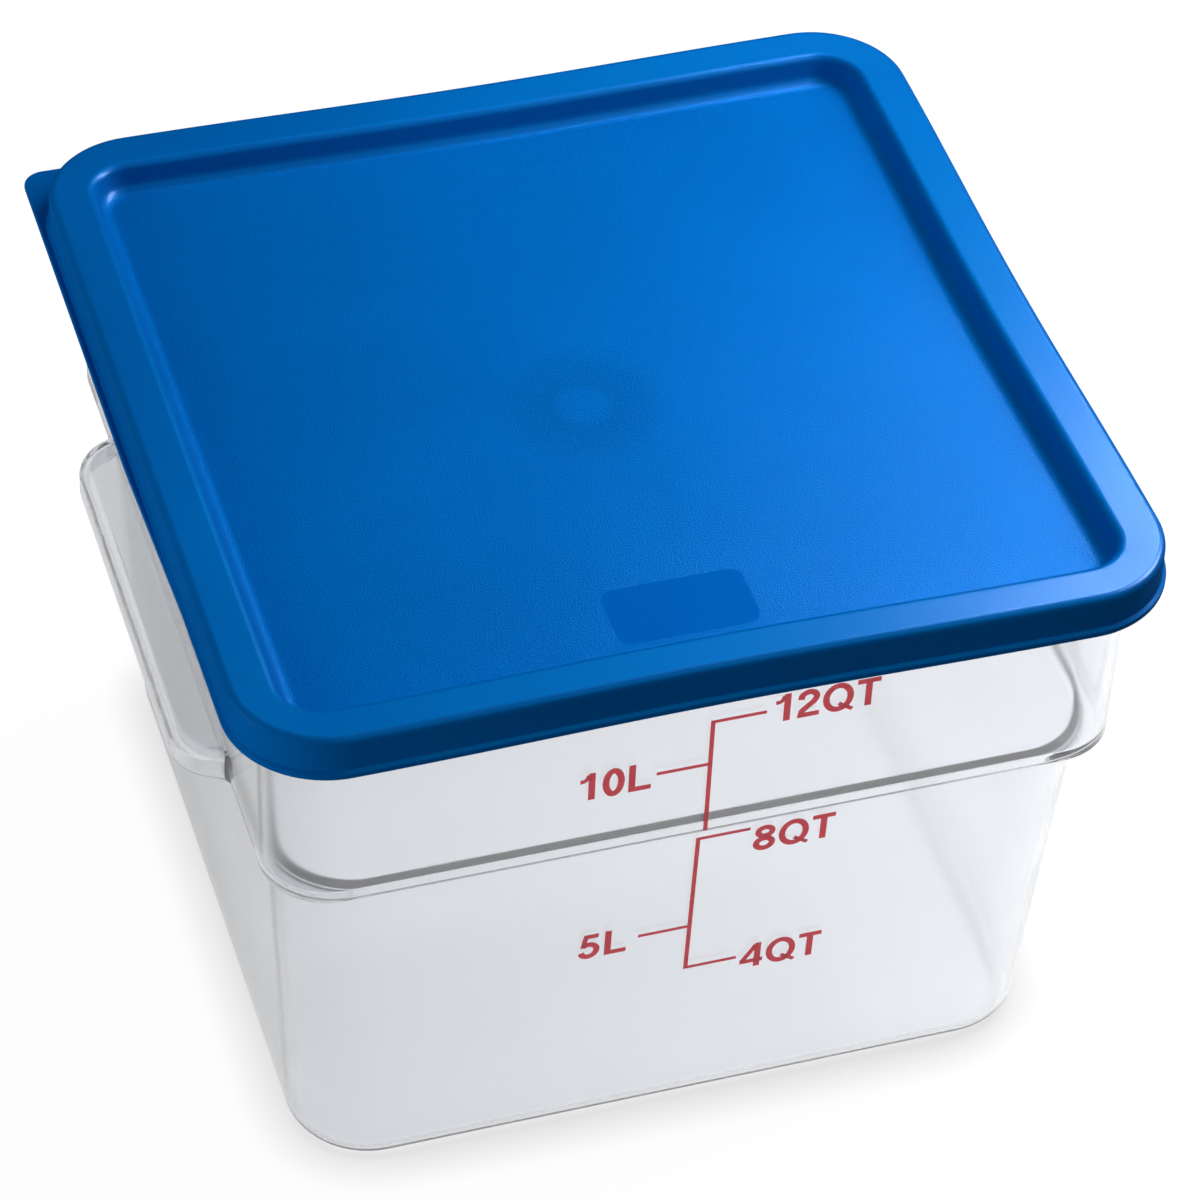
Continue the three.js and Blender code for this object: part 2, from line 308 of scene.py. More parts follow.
# A grip is an upside-down tray: its section runs from the pocket's roof down the inside, round the
# lip's rounded foot, up the outside and over the rounded top.
def grip(side):
    g = gripShape
    foot = bodyShape["stepHeight"] + g["foot"]
    top = bodyShape["stepHeight"] + g["height"]
    roof = top - bodyShape["wall"]
    quarter = np.linspace(0, math.pi / 2, 8)
    footTurn = np.linspace(0, math.pi, 10)
    half = g["lip"] / 2
    inset = np.concatenate([
        g["lip"] + g["roofRadius"] * (1 - np.sin(quarter)),
        half + half * np.cos(footTurn),
        g["topRadius"] * (1 - np.cos(quarter)),
    ])
    height = np.concatenate([
        roof - g["roofRadius"] * (1 - np.cos(quarter)),
        foot + half - half * np.sin(footTurn),
        top - g["topRadius"] * (1 - np.sin(quarter)),
    ])
    root = upperHalf - g["root"] + np.clip(inset / g["lip"], 0, 1) * g["rootWall"]
    plan = gripPlan(inset, root)
    rim = np.concatenate([plan, np.broadcast_to(height[:, None, None], plan.shape[:2] + (1,))], 2)
    spineX = upperHalf + g["spine"]
    between = np.linspace(-1, 1, g["sideSteps"] + 1)[1:-1] * (g["halfLength"] - g["corner"])
    end = np.full(g["blendSteps"] + g["arcSteps"] + 2, g["halfLength"] - g["corner"])
    spineY = np.concatenate([-end, between, end, -between])
    under = np.stack([np.full_like(spineY, spineX), spineY, np.full_like(spineY, roof)], 1)
    over = np.stack([np.full_like(spineY, spineX), spineY, np.full_like(spineY, top)], 1)
    points = np.concatenate([under[None], rim, over[None]])
    points = points * np.array([side, 1, 1])
    return makeObject("grip", points.reshape(-1, 3), ringFaces(*points.shape[:2]))


# Lid
lidShape = {
    "wall": 2.2,
    "skirtHeight": 14.7,
    "skirtDraft": 1.4,
    "topRadius": 2.4,
    "sideBow": 1.6,
    "rimFall": 0.8,
    "rimInnerRadius": 3.0,
    "recessDepth": 10.0,
    "recessAngle": 72.0,
    "recessFillet": 4.8,
    "recessCorner": 13.5,
    "beadHeight": 3.0,
    "beadProud": 1.2,
    "beadSlope": 1.0,
    "beadEdge": 0.8,
    "beadFillet": 0.5,
    "grooveFillet": 0.2,
    "plugEdge": 0.4,
    "innerBead": 1.2,
    "seatGap": 0.3,
    "rimPlay": 0.5,
    "plugPlay": 0.7,
    "innerRing": 40,
    "outerRing": 80,
    "guard": 0.12,
    "cornerSteps": 22,
    "sideSteps": 24,
}
lidTop = rimTop + lidShape["seatGap"] + lidShape["wall"]
lidBottom = lidTop - lidShape["skirtHeight"]
panelTop = lidTop - lidShape["recessDepth"]
lidHalf = (
    upperHalf + bodyShape["upperFlare"] + bodyShape["flangeWidth"] + lidShape["rimPlay"]
    + lidShape["sideBow"] + lidShape["innerBead"] + lidShape["wall"]
)


# The lid's section runs out along the underside, round the bead, up the skirt, over the rim and
# down the recess to the middle of the panel.
def lidShell():
    s = lidShape
    angle = math.radians(s["recessAngle"])
    slope = math.tan(angle)
    rimZ = lidTop - s["rimFall"]
    shift = s["wall"] / math.sin(angle)
    mouth = upperHalf + bodyShape["upperFlare"] - bodyShape["wall"]
    rimHalf = mouth - s["plugPlay"] - shift + (rimZ - rimTop) / slope
    footHalf = rimHalf - (rimZ - panelTop) / slope
    underZ = lidTop - s["wall"]
    panelUnder = panelTop - s["wall"]
    plugFoot = rimHalf + shift - (rimZ - panelUnder) / slope
    plugTop = rimHalf + shift - (rimZ - underZ) / slope
    skirtTop = lidHalf - s["skirtDraft"]
    grooveZ = lidBottom + s["beadHeight"]
    inside = lidHalf - s["wall"]
    bead = inside - s["innerBead"]
    section = roundedPath([
        (0, panelUnder),
        (s["innerRing"], panelUnder),
        (s["outerRing"], panelUnder),
        (plugFoot, panelUnder, s["recessFillet"] + s["wall"]),
        (plugTop, underZ, s["plugEdge"]),
        (skirtTop - s["wall"], underZ, s["topRadius"] - s["wall"]),
        (inside, grooveZ + s["innerBead"], s["beadFillet"]),
        (bead, grooveZ, s["beadFillet"]),
        (bead, lidBottom, s["beadEdge"]),
        (lidHalf, lidBottom, s["beadEdge"]),
        (lidHalf, grooveZ - s["beadSlope"], s["beadFillet"]),
        (lidHalf - s["beadProud"], grooveZ, s["grooveFillet"]),
        (skirtTop, lidTop, s["topRadius"]),
        (rimHalf, rimZ, s["rimInnerRadius"]),
        (footHalf, panelTop, s["recessFillet"]),
        (s["outerRing"], panelTop),
    ], guard=s["guard"])
    over = np.arange(len(section)) >= np.argmax(section[:, 1])
    inward = np.clip((skirtTop - section[:, 0]) / (skirtTop - rimHalf), 0, 1) * over
    centre = cornerCentre + (rimHalf - s["recessCorner"] - cornerCentre) * inward
    columns = squareColumns(s["cornerSteps"], s["sideSteps"])
    points = squareSurface(section, centre, columns, s["sideBow"])
    points = np.concatenate([points, gateRows(points[-1])])
    lid = makeObject("lid_moulding", points.reshape(-1, 3), ringFaces(*points.shape[:2]))
    panelFront = footHalf - s["recessFillet"] * math.tan(angle / 2) - s["sideBow"]
    combine(lid, pullTab(), "UNION")
    combine(lid, labelPad(panelFront), "DIFFERENCE")
    return lid


# Gate mark: circles that close in on the gate, from the panel's ring. Height by distance r from the
# gate is a shallow sink, a bell of the sink's width, plus a low button with a rounded edge.
gateShape = {
    "place": (-5.2, -10.9),
    "radius": 9.5,
    "height": 0.16,
    "edgeRun": 7.0,
    "edgeOut": 3.0,
    "sink": 0.4,
    "sinkRadius": 17.0,
    "runs": [(52, 12, 21), (11.4, 6, 13), (5, 0, 6)],
    # Levels of the painted shade in the ring round the gate, by share of shadeReach.
    "shade": [(0.0, 1.0), (0.2, 0.98), (0.34, 0.87), (0.55, 0.9), (0.95, 1.0)],
    "shadeReach": 32.0,
}


def gateRows(ring):
    g = gateShape
    place = np.array(g["place"])
    spoke = ring[:, :2] - place
    spoke = spoke / np.linalg.norm(spoke, axis=1)[:, None]
    reach = np.concatenate([np.linspace(*run) for run in g["runs"]])
    button = np.clip((g["radius"] + g["edgeOut"] - reach) / g["edgeRun"], 0, 1)
    button = button * button * (3 - 2 * button)
    sink = g["sink"] * np.exp(-((reach / g["sinkRadius"]) ** 2))
    height = panelTop + g["height"] * button - sink
    flat = place + reach[:, None, None] * spoke
    lift = np.broadcast_to(height[:, None, None], flat.shape[:2] + (1,))
    return np.concatenate([flat, lift], 2)


# Pull tab
tabShape = {
    "reachLeft": 1.7,
    "reachBack": 2.6,
    "thickness": 2.0,
    "corner": 7.0,
    "lengthLeft": 150.0,
    "rampLeft": 110.0,
    "lengthBack": 60.0,
    "rampBack": 14.0,
    "bendLeft": 300.0,
    "bendBack": 14.0,
    "edge": 0.7,
    "leastReach": 0.6,
    "edgeShare": 0.8,
    "stepLength": 6.0,
    "arcSteps": 12,
}


# A flap carried round one corner of the skirt. Its outer line is straight with one arc and runs out
# into the skirt at both ends; each section is a thin bar from the skirt's middle to that line.
def pullTab():
    s = tabShape
    root = lidHalf - lidShape["wall"] / 2
    left = lidHalf + s["reachLeft"]
    back = lidHalf + s["reachBack"]
    leftEnd = back - s["lengthLeft"]
    backEnd = s["lengthBack"] - left
    inner = root - lidShape["sideBow"]
    outline = roundedPath([
        (-root, leftEnd - s["rampLeft"]),
        (-left, leftEnd, s["bendLeft"]),
        (-left, back, s["corner"]),
        (backEnd, back, s["bendBack"]),
        (backEnd + s["rampBack"], inner),
    ], arcSteps=s["arcSteps"])
    fine = [outline[:1]]
    for start, stop in zip(outline[:-1], outline[1:]):
        pieces = max(1, int(np.linalg.norm(stop - start) // s["stepLength"]))
        fine.append(start + (stop - start) * np.linspace(0, 1, pieces + 1)[1:, None])
    outline = np.concatenate(fine)
    along = np.gradient(outline, axis=0)
    along /= np.linalg.norm(along, axis=1)[:, None]
    outward = np.stack([-along[:, 1], along[:, 0]], 1)
    lean = np.minimum(outline * np.array([-1, 1]), cornerCentre) * np.array([-1, 1])
    spoke = outline - lean
    distance = np.linalg.norm(spoke, axis=1)[:, None]
    foot = lean + spoke / distance * np.minimum(distance - s["leastReach"], inner - cornerCentre)
    turn = np.linspace(-math.pi / 2, math.pi / 2, 9)
    inset = s["edge"] * (1 - np.cos(turn))
    half = s["thickness"] / 2
    lift = half + (half - s["edge"]) * np.sign(turn) + s["edge"] * np.sin(turn)
    room = np.linalg.norm(outline - foot, axis=1)[:, None, None]
    edgeIn = np.minimum(inset[None, :, None], room * s["edgeShare"])
    edge = outline[:, None] - outward[:, None] * edgeIn
    flat = np.concatenate([foot[:, None], edge, foot[:, None]], 1)
    height = lidBottom + np.concatenate([[0], lift, [s["thickness"]]])
    height = np.broadcast_to(height[None, :, None], flat.shape[:2] + (1,))
    points = cappedRows(np.concatenate([flat, height], 2))
    return makeObject("tab", points.reshape(-1, 3), ringFaces(*points.shape[:2]))


# Closes a run of sections with a point at the middle of the first and of the last.
def cappedRows(points):
    first = np.broadcast_to(points[0].mean(0), points[:1].shape)
    last = np.broadcast_to(points[-1].mean(0), points[:1].shape)
    return np.concatenate([first, points, last])


# Label pad
padShape = {
    "width": 45.4,
    "length": 25.0,
    "offset": -3.5,
    "frontInset": 4.0,
    "corner": 5.0,
    "depth": 0.22,
    "draft": 0.5,
    "closeInset": 20,
    "frontFaces": -90,
    "levelPlay": 0.01,
}


# Cutter for the pad: rounded rectangles that narrow downwards by the draft.
def labelPad(panelFront):
    s = padShape
    centreY = s["frontInset"] + s["length"] / 2 - panelFront
    angle = np.linspace(0, math.pi / 2, 13)
    levels = [
        (-s["depth"], s["closeInset"]),
        (-s["depth"], s["draft"]),
        (0, 0),
        (s["depth"], -s["draft"]),
        (s["depth"], s["closeInset"]),
    ]
    rows = []
    for level, inset in levels:
        plan = []
        for quarter, (sx, sy) in enumerate(((1, 1), (-1, 1), (-1, -1), (1, -1))):
            turn = angle + quarter * math.pi / 2
            radius = max(s["corner"] - inset, 0)
            shrink = max(inset - s["corner"], 0)
            x = s["offset"] + sx * (s["width"] / 2 - s["corner"] - shrink) + radius * np.cos(turn)
            y = centreY + sy * max(s["length"] / 2 - s["corner"] - shrink, 0) + radius * np.sin(turn)
            plan.append(np.stack([x, y, np.full_like(x, panelTop + level)], 1))
        rows.append(np.concatenate(plan))
    points = np.stack(rows)
    return makeObject("pad", points.reshape(-1, 3), ringFaces(*points.shape[:2]))


# Printed scale
printShape = {
    "lineX": -1.8,
    "lineWidth": 1.4,
    "tickWidth": 1.2,
    "tickLength": 16.0,
    "capHeight": 11.1,
    "letterGap": 0.09,
    "lift": 0.03,
    "layer": 0.005,
    "ink": 0.08,
    "stepClear": 3,
    "marks": [
        {"height": 182.4, "side": 1, "word": "12QT", "wordX": 17.6, "base": 176.6},
        {"height": 164.3, "side": -1, "word": "10L", "wordX": -42.3, "base": 158.8},
        {"height": 127.5, "side": 1, "word": "8QT", "wordX": 16.3, "base": 116.0},
        {"height": 86.1, "side": -1, "word": "5L", "wordX": -37.5, "base": 80.3},
        {"height": 65.5, "side": 1, "word": "4QT", "wordX": 16.3, "base": 60.0},
    ],
}


# Smooth run through a few points: each stretch is a cubic whose ends follow the neighbours.
def smoothRun(points, steps=7):
    p = np.array(points, float)
    p = np.concatenate([[2 * p[0] - p[1]], p, [2 * p[-1] - p[-2]]])
    t = np.linspace(0, 1, steps, endpoint=False)[:, None]
    runs = []
    for a, b, c, d in zip(p[:-3], p[1:-2], p[2:-1], p[3:]):
        slopeB, slopeC = (c - a) / 2, (d - b) / 2
        square = 3 * (c - b) - 2 * slopeB - slopeC
        cube = 2 * (b - c) + slopeB + slopeC
        runs.append(b + slopeB * t + square * t ** 2 + cube * t ** 3)
    return np.concatenate(runs + [p[-2:-1]])


# Points round an oval with half axes rx and ry.
def oval(x, y, rx, ry, steps=36):
    angle = np.linspace(0, 2 * math.pi, steps, endpoint=False)
    return np.stack([x + rx * np.cos(angle), y + ry * np.sin(angle)], 1)


# Letters as strokes in cap heights: advance, then (path, width, closed).
def letterStrokes():
    stem, bar = 0.19, 0.165
    low, high = bar / 2, 1 - bar / 2
    return {
        "T": (0.665, [
            ([(0, high), (0.665, high)], bar, False),
            ([(0.335, 0), (0.335, 1 - bar)], stem, False),
        ]),
        "L": (0.635, [
            ([(0.095, 0), (0.095, 1)], stem, False),
            ([(0.19, low), (0.635, low)], bar, False),
        ]),
        "1": (0.54, [
            ([(0.33, 0), (0.33, 1)], stem, False),
            (smoothRun([(0.0, 0.72), (0.11, 0.735), (0.195, 0.8), (0.245, 0.93)]), 0.13, False),
        ]),
        "0": (0.64, [(oval(0.31, 0.5, 0.215, 0.43), 0.19, True)]),
        "Q": (0.875, [
            (oval(0.4375, 0.5, 0.345, 0.438), 0.185, True),
            ([(0.46, 0.27), (0.86, -0.02)], 0.125, False),
        ]),
        "2": (0.62, [
            (smoothRun([
                (0.085, 0.67), (0.12, 0.83), (0.30, 0.925), (0.465, 0.855), (0.52, 0.71), (0.45, 0.55),
                (0.28, 0.39), (0.14, 0.25), (0.1, 0.16),
            ]), 0.185, False),
            ([(0.01, low), (0.62, low)], bar, False),
        ]),
        "4": (0.675, [
            (smoothRun([(0.05, 0.28), (0.22, 0.55), (0.44, 0.93)]), 0.15, False),
            ([(0, 0.265), (0.675, 0.265)], 0.155, False),
            ([(0.505, 0), (0.505, 1)], stem, False),
        ]),
        "5": (0.65, [
            ([(0.12, high), (0.55, high)], bar, False),
            ([(0.175, 0.86), (0.11, 0.47)], 0.15, False),
            (smoothRun([
                (0.12, 0.53), (0.29, 0.585), (0.455, 0.50), (0.51, 0.33), (0.435, 0.15), (0.27, 0.075),
                (0.11, 0.14), (0.07, 0.26),
            ]), 0.18, False),
        ]),
        "8": (0.645, [
            (oval(0.325, 0.75, 0.205, 0.175), 0.175, True),
            (oval(0.32, 0.275, 0.23, 0.2), 0.185, True),
        ]),
    }


# One stroke as a flat bar carried along its path on the front wall: at each point the bar's two
# sides stand half a width off along the path's normal, lengthened at bends.
def strokeBar(path, width, closed, rise=0.0):
    path = np.array(path, float)
    if closed:
        before, after = path - np.roll(path, 1, 0), np.roll(path, -1, 0) - path
    else:
        steps = np.diff(path, axis=0)
        before = np.concatenate([steps[:1], steps])
        after = np.concatenate([steps, steps[-1:]])
    before = before / np.linalg.norm(before, axis=1)[:, None]
    after = after / np.linalg.norm(after, axis=1)[:, None]
    middle = before + after
    middle /= np.linalg.norm(middle, axis=1)[:, None]
    stretch = 1 / np.clip((middle * after).sum(1), 0.5, 1)
    side = np.stack([-middle[:, 1], middle[:, 0]], 1) * (stretch * width / 2)[:, None]
    outline = np.stack([path + side, path - side, path - side, path + side], 1)
    x, z = outline[..., 0], outline[..., 1]
    lower = bodyShape["baseHalf"] + lowerLean * z
    upper = upperHalf + upperLean * (z - bodyShape["stepHeight"])
    wall = np.where(z < bodyShape["stepHeight"] - printShape["stepClear"], lower, upper)
    depth = printShape["lift"] + rise + printShape["ink"] * np.array([0, 0, 1, 1])
    points = np.stack([x, -wall - depth, z], 2)
    return points if closed else cappedRows(points)


# All strokes of one bracket and its words as one mesh.
def printedScale(name, marks, top, foot):
    s = printShape
    letters = letterStrokes()
    bars = [strokeBar([(s["lineX"], foot), (s["lineX"], top)], s["lineWidth"], False)]
    for mark in marks:
        reach = s["lineX"] + mark["side"] * (s["tickLength"] + s["lineWidth"] / 2)
        root = s["lineX"] + mark["side"] * s["lineWidth"] / 2
        level = mark["height"]
        if abs(level - top) < 0.1 or abs(level - foot) < 0.1:
            level += math.copysign(s["tickWidth"] / 2, (top + foot) / 2 - level)
        bars.append(strokeBar([(root, level), (reach, level)], s["tickWidth"], False, s["layer"]))
        pen = mark["wordX"]
        for letter in mark["word"]:
            advance, strokes = letters[letter]
            for order, (path, width, closed) in enumerate(strokes):
                place = np.array(path) * s["capHeight"] + np.array([pen, mark["base"]])
                bars.append(strokeBar(place, width * s["capHeight"], closed, s["layer"] * order))
            pen += (advance + s["letterGap"]) * s["capHeight"]
    points, quads, count = [], [], 0
    for bar in bars:
        ring = not np.allclose(bar[0, 0], bar[0, 1])
        quads.append(ringFaces(*bar.shape[:2], closedRows=ring) + count)
        points.append(bar.reshape(-1, 3))
        count += bar.shape[0] * bar.shape[1]
    return makeObject(name, np.concatenate(points), np.concatenate(quads), smoothAngle=30)


# Camera
viewShape = {
    "target": (5.68, -5.61, 112.4),
    "distance": 1605.1,
    "azimuth": -19.04,
    "elevation": 42.93,
    "roll": 2.857,
    "halfFrame": 600,
    "focalPixels": 4968,
}


# The camera stands on a sphere round its target, turned about its own axis by the roll.
def placeCamera():
    v = viewShape
    turn, lift, roll = (math.radians(v[k]) for k in ("azimuth", "elevation", "roll"))
    back = np.array([math.sin(turn) * math.cos(lift), -math.cos(turn) * math.cos(lift), math.sin(lift)])
    right = np.cross([0, 0, 1], back)
    right /= np.linalg.norm(right)
    up = np.cross(back, right)
    rolledRight = right * math.cos(roll) + up * math.sin(roll)
    rolledUp = up * math.cos(roll) - right * math.sin(roll)
    place = (np.array(v["target"]) + back * v["distance"]) * mm
    data = bpy.data.cameras.new("view")
    data.sensor_fit = "AUTO"
    data.angle = 2 * math.atan(v["halfFrame"] / v["focalPixels"])
    data.clip_start = 0.05
    data.clip_end = 50
    camera = bpy.data.objects.new("view", data)
    matrix = np.eye(4)
    matrix[:3, 0], matrix[:3, 1], matrix[:3, 2], matrix[:3, 3] = rolledRight, rolledUp, back, place
    camera.matrix_world = matrix.T.tolist()
    bpy.context.scene.collection.objects.link(camera)
    bpy.context.scene.camera = camera


# Finishes: an empty one with its nodes and links.
def newFinish(name):
    finish = bpy.data.materials.new(name)
    finish.use_nodes = True
    return finish, finish.node_tree.nodes, finish.node_tree.links


# Noise on object coordinates, stretched from its middle range to the given one.
def noiseRange(nodes, links, scale, detail, low, high):
    place = nodes.new("ShaderNodeTexCoord")
    noise = nodes.new("ShaderNodeTexNoise")
    noise.inputs["Scale"].default_value = scale
    noise.inputs["Detail"].default_value = detail
    spread = nodes.new("ShaderNodeMapRange")
    spread.inputs["From Min"].default_value = 0.3
    spread.inputs["From Max"].default_value = 0.7
    spread.inputs["To Min"].default_value = low
    spread.inputs["To Max"].default_value = high
    links.new(place.outputs["Object"], noise.inputs["Vector"])
    links.new(noise.outputs["Fac"], spread.inputs["Value"])
    return spread.outputs["Result"]


# Relief from a height, as a direction for the shader.
def addBump(nodes, links, height, strength, distance):
    bump = nodes.new("ShaderNodeBump")
    bump.inputs["Strength"].default_value = strength
    bump.inputs["Distance"].default_value = distance
    links.new(height, bump.inputs["Height"])
    return bump.outputs["Normal"]


# Colour between a dark and a light tone by a factor.
def twoTone(nodes, links, factor, dark, light):
    ramp = nodes.new("ShaderNodeValToRGB")
    ramp.color_ramp.elements[0].color = dark + (1,)
    ramp.color_ramp.elements[1].color = light + (1,)
    links.new(factor, ramp.inputs["Fac"])
    return ramp.outputs["Color"]


clearLook = {
    "tint": (0.94, 0.956, 0.988),
    "ior": 1.58,
    "clear": 0.94,
    "haze": (0.07, 0.12),
    "hazeScale": 45,
}
blueNoise = {"cloud": 14, "rough": 160, "grain": 1700, "relief": 0.5}
blueLook = {
    "rim": {
        "dark": (0.0, 0.172, 0.63),
        "light": (0.0, 0.188, 0.68),
        "rough": (0.38, 0.44),
        "sheen": 0.042,
        "coat": 0.14,
        "coatRough": 0.25,
        "grain": 0.00004,
    },
    "panel": {
        "dark": (0.0, 0.172, 0.63),
        "light": (0.0, 0.188, 0.68),
        "rough": (0.4, 0.46),
        "sheen": 0.06,
        "coat": 0.04,
        "coatRough": 0.27,
        "grain": 0.00016,
    },
    # The pad's base colour is a little darker than the panel's: painted shade for the weaker sheen of
    # its smoother finish, which the lower sheen, coat and grain give as well.
    "pad": {
        "dark": (0.0, 0.15, 0.62),
        "light": (0.0, 0.16, 0.65),
        "rough": (0.36, 0.4),
        "sheen": 0.04,
        "coat": 0.01,
        "coatRough": 0.25,
        "grain": 0.00001,
    },
}
inkLook = {
    "dark": (0.62, 0.035, 0.055),
    "light": (0.74, 0.06, 0.085),
    "through": 0.76,
    "ior": 1.3,
    "rough": (0.4, 0.6),
    "coverScale": 420,
    "roughScale": 900,
}


# Clear plastic with a slight, uneven haze.
def clearPolycarbonate():
    finish, nodes, links = newFinish("clear polycarbonate")
    shader = nodes["Principled BSDF"]
    shader.inputs["Base Color"].default_value = clearLook["tint"] + (1,)
    shader.inputs["IOR"].default_value = clearLook["ior"]
    shader.inputs["Transmission Weight"].default_value = clearLook["clear"]
    haze = noiseRange(nodes, links, clearLook["hazeScale"], 4, *clearLook["haze"])
    links.new(haze, shader.inputs["Roughness"])
    return finish


# Darker ring round the gate, painted shade for the duller, less shiny finish there: the colour
# is multiplied by a factor of the distance from the gate.
def gateShade(nodes, links, colour):
    g = gateShape
    place = nodes.new("ShaderNodeTexCoord")
    distance = nodes.new("ShaderNodeVectorMath")
    distance.operation = "DISTANCE"
    distance.inputs[1].default_value = tuple(v * mm for v in (*g["place"], panelTop))
    share = nodes.new("ShaderNodeMath")
    share.operation = "DIVIDE"
    share.inputs[1].default_value = g["shadeReach"] * mm
    ramp = nodes.new("ShaderNodeValToRGB")
    ramp.color_ramp.interpolation = "EASE"
    for extra in range(len(g["shade"]) - 2):
        ramp.color_ramp.elements.new(0.5)
    for stop, (reach, level) in zip(ramp.color_ramp.elements, g["shade"]):
        stop.position = reach
        stop.color = (level, level, level, 1)
    blend = nodes.new("ShaderNodeMix")
    blend.data_type = "RGBA"
    blend.blend_type = "MULTIPLY"
    blend.inputs["Factor"].default_value = 1
    links.new(place.outputs["Object"], distance.inputs[0])
    links.new(distance.outputs["Value"], share.inputs[0])
    links.new(share.outputs["Value"], ramp.inputs["Fac"])
    links.new(colour, blend.inputs[6])
    links.new(ramp.outputs["Color"], blend.inputs[7])
    return blend.outputs[2]


# Moulded blue: a little of the metal lobe for a broad sheen in its own colour, a thin coat for the
# white one, and fine grain all over.
def bluePolyethylene(part):
    look = blueLook[part]
    finish, nodes, links = newFinish("blue polyethylene " + part)
    shader = nodes["Principled BSDF"]
    cloud = noiseRange(nodes, links, blueNoise["cloud"], 3, 0, 1)
    colour = twoTone(nodes, links, cloud, look["dark"], look["light"])
    # The panel gets painted shade in a ring round the gate.
    if part == "panel":
        colour = gateShade(nodes, links, colour)
    links.new(colour, shader.inputs["Base Color"])
    rough = noiseRange(nodes, links, blueNoise["rough"], 3, *look["rough"])
    links.new(rough, shader.inputs["Roughness"])
    shader.inputs["Specular IOR Level"].default_value = 0
    shader.inputs["Metallic"].default_value = look["sheen"]
    shader.inputs["Coat Weight"].default_value = look["coat"]
    shader.inputs["Coat Roughness"].default_value = look["coatRough"]
    grain = noiseRange(nodes, links, blueNoise["grain"], 2, 0, 1)
    relief = addBump(nodes, links, grain, blueNoise["relief"], look["grain"])
    links.new(relief, shader.inputs["Normal"])
    links.new(relief, shader.inputs["Coat Normal"])
    return finish


# Thin red ink, printed unevenly, that lets light through.
def redInk():
    finish, nodes, links = newFinish("red ink")
    shader = nodes["Principled BSDF"]
    cover = noiseRange(nodes, links, inkLook["coverScale"], 4, 0, 1)
    colour = twoTone(nodes, links, cover, inkLook["dark"], inkLook["light"])
    links.new(colour, shader.inputs["Base Color"])
    rough = noiseRange(nodes, links, inkLook["roughScale"], 2, *inkLook["rough"])
    links.new(rough, shader.inputs["Roughness"])
    shader.inputs["Transmission Weight"].default_value = inkLook["through"]
    shader.inputs["IOR"].default_value = inkLook["ior"]
    return finish


# Light and floor
white = (1, 1, 1)
cyan = (0, 0.85, 1)
lightShape = {
    "target": (0, 0, 200),
    "boxes": [
        {
            "name": "sheen box", "place": (297, 156, 513), "size": 140,
            "power": 3.0, "seen": "gloss", "colour": white,
        },
        {
            "name": "edge box", "place": (450, -40, 500), "size": 220,
            "power": 8.0, "seen": "gloss", "colour": white,
        },
        {
            "name": "front box", "place": (216, -636, 927), "size": 450,
            "power": 2.4, "seen": "gloss", "colour": cyan,
        },
        {
            "name": "broad box", "place": (200, 250, 600), "size": 420,
            "power": 3.2, "seen": "gloss", "colour": cyan,
        },
        {
            "name": "back box", "place": (460, 330, 800), "size": 350,
            "power": 2.15, "seen": "shade", "colour": white,
        },
        {
            "name": "side box", "place": (600, 0, 620), "size": 420,
            "power": 2.0, "seen": "shade", "colour": white,
        },
        {
            "name": "overhead", "place": (260, 60, 1200), "size": 600,
            "power": 0.9, "seen": "shade", "colour": white,
        },
        {
            "name": "front fill", "place": (-1000, -1200, 150), "size": 300,
            "power": 4.2, "seen": "shade", "colour": white,
        },
        {
            "name": "left fill", "place": (-1300, 100, 500), "size": 900,
            "power": 5.2, "seen": "shade", "colour": white,
        },
    ],
    "fill": 0.04,
    "tentRadius": 6000,
    "tentLeft": 0.7,
    "tentRight": 1.25,
    "tentHaze": 1.5,
    "floorReach": 7000,
    "floorSteps": 8,
    "floorDrop": 0.2,
    "floorShade": 0.15,
    # Floor glow by ambient occlusion, a painted contact shadow near the base; then painted light,
    # brighter to the right, for the rays through the clear pieces.
    "floorGlowWithPaintedShadow": [(0.0, 0.96), (0.35, 0.7), (0.92, 0.96)],
    "paintedShadowReach": 20,
    "paintedLightSlant": (1, -0.8, 0),
    "paintedLightLeft": (-200, 0.68),
    "paintedLightRight": (200, 1.16),
}


# One square softbox that faces the target, seen in the gloss or in the shading of its receivers.
def softbox(box, target, receivers):
    data = bpy.data.lights.new(box["name"], "AREA")
    data.shape = "SQUARE"
    data.size = box["size"] * mm
    data.energy = box["power"]
    data.color = box["colour"]
    light = bpy.data.objects.new(box["name"], data)
    back = np.array(box["place"], float) - np.array(target, float)
    back /= np.linalg.norm(back)
    right = np.cross([0, 0, 1], back)
    right /= np.linalg.norm(right)
    matrix = np.eye(4)
    matrix[:3, 0], matrix[:3, 1], matrix[:3, 2] = right, np.cross(back, right), back
    matrix[:3, 3] = np.array(box["place"]) * mm
    light.matrix_world = matrix.T.tolist()
    light.visible_glossy = box["seen"] == "gloss"
    light.visible_diffuse = box["seen"] == "shade"
    light.visible_transmission = box["seen"] == "gloss"
    light.light_linking.receiver_collection = receivers
    bpy.context.scene.collection.objects.link(light)


# Softboxes for the pieces that aren't clear, and an even, weak fill.
def lightStudio(receivers):
    s = lightShape
    for box in s["boxes"]:
        softbox(box, s["target"], receivers)
    world = bpy.data.worlds.new("studio")
    world.use_nodes = True
    background = world.node_tree.nodes["Background"]
    background.inputs["Color"].default_value = white + (1,)
    background.inputs["Strength"].default_value = s["fill"]
    world.cycles_visibility.glossy = False
    bpy.context.scene.world = world


# Surfaces that glow for the camera and for the clear pieces alone, so that the lid keeps its
# own light.
def glowFor(obj, receivers):
    obj.light_linking.receiver_collection = receivers
